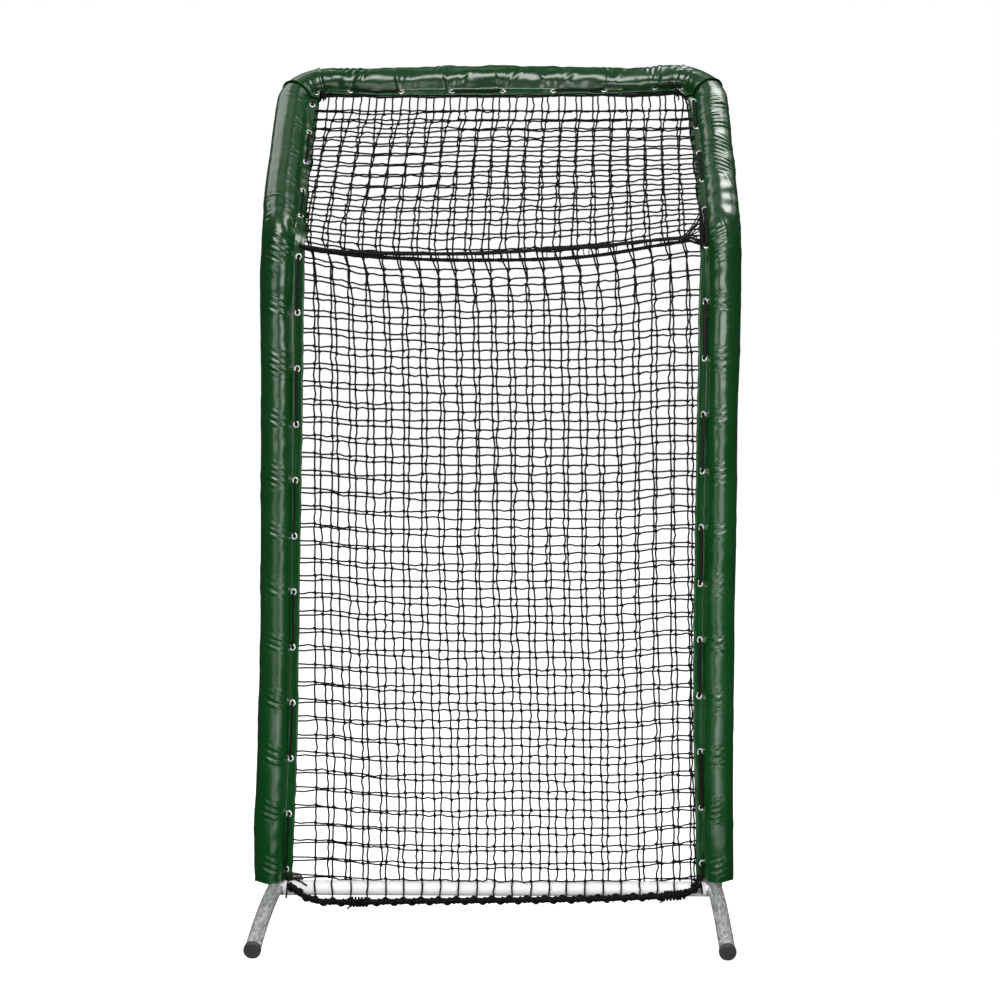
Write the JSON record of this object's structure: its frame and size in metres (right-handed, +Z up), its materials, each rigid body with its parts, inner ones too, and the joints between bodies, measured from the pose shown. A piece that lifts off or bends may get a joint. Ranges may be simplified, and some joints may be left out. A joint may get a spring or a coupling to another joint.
{
  "type": "overhead protector screen",
  "caption": "Padded steel screen with a double net and a top that leans back over the player, on a low base with bowed legs.",
  "frame": {"origin": "on the floor under the middle of the bounding box", "axes": "+Z up, -Y towards the batter, +Y the way the overhead part leans, +X across the screen"},
  "size_m": [1.211, 0.894, 2.2847],
  "materials": {
    "galvanised_steel": "satin",
    "zinc_fasteners": "satin",
    "green_vinyl": "gloss",
    "foam": "matte",
    "black_cord": "matte",
    "black_rubber": "matte"
  },
  "bodies": {
    "base": {"left_leg_tube": "galvanised_steel", "right_leg_tube": "galvanised_steel", "left_front_foot_cap": "black_rubber", "right_front_foot_cap": "black_rubber", "left_rear_foot_cap": "black_rubber", "right_rear_foot_cap": "black_rubber", "left_upright_spigot": "galvanised_steel", "right_upright_spigot": "galvanised_steel", "left_crossbar_spigot": "galvanised_steel", "right_crossbar_spigot": "galvanised_steel", "lower_crossbar_tube": "galvanised_steel", "left_crossbar_bolt": "zinc_fasteners", "right_crossbar_bolt": "zinc_fasteners", "left_crossbar_nut": "zinc_fasteners", "right_crossbar_nut": "zinc_fasteners"},
    "screen_frame": {"left_post_tube": "galvanised_steel", "right_post_tube": "galvanised_steel", "left_arm_tube": "galvanised_steel", "right_arm_tube": "galvanised_steel", "left_corner_tube": "galvanised_steel", "right_corner_tube": "galvanised_steel", "top_tube": "galvanised_steel", "left_post_rivet": "zinc_fasteners", "right_post_rivet": "zinc_fasteners", "left_arm_rivet": "zinc_fasteners", "right_arm_rivet": "zinc_fasteners", "left_corner_rivet": "zinc_fasteners", "right_corner_rivet": "zinc_fasteners", "left_post_foam": "foam", "right_post_foam": "foam", "left_overhead_foam": "foam", "right_overhead_foam": "foam", "top_foam": "foam", "left_side_cover": "green_vinyl", "right_side_cover": "green_vinyl", "top_cover": "green_vinyl", "left_corner_cover": "green_vinyl", "right_corner_cover": "green_vinyl", "left_lace": "black_cord", "right_lace": "black_cord", "top_lace": "black_cord", "front_main_net": "black_cord", "rear_main_net": "black_cord", "front_overhead_net": "black_cord", "rear_overhead_net": "black_cord", "front_bend_rope": "black_cord", "rear_bend_rope": "black_cord", "foot_rope": "black_cord", "left_foot_knot": "black_cord", "right_foot_knot": "black_cord", "left_corner_knot": "black_cord", "right_corner_knot": "black_cord", "right_bend_lashing": "black_cord"}
  },
  "joints": [
    {"name": "screen_frame_lift", "type": "slide", "parent": "base", "child": "screen_frame", "axis": [0, 0, 1], "range_m": [0, 0.15]}
  ]
}
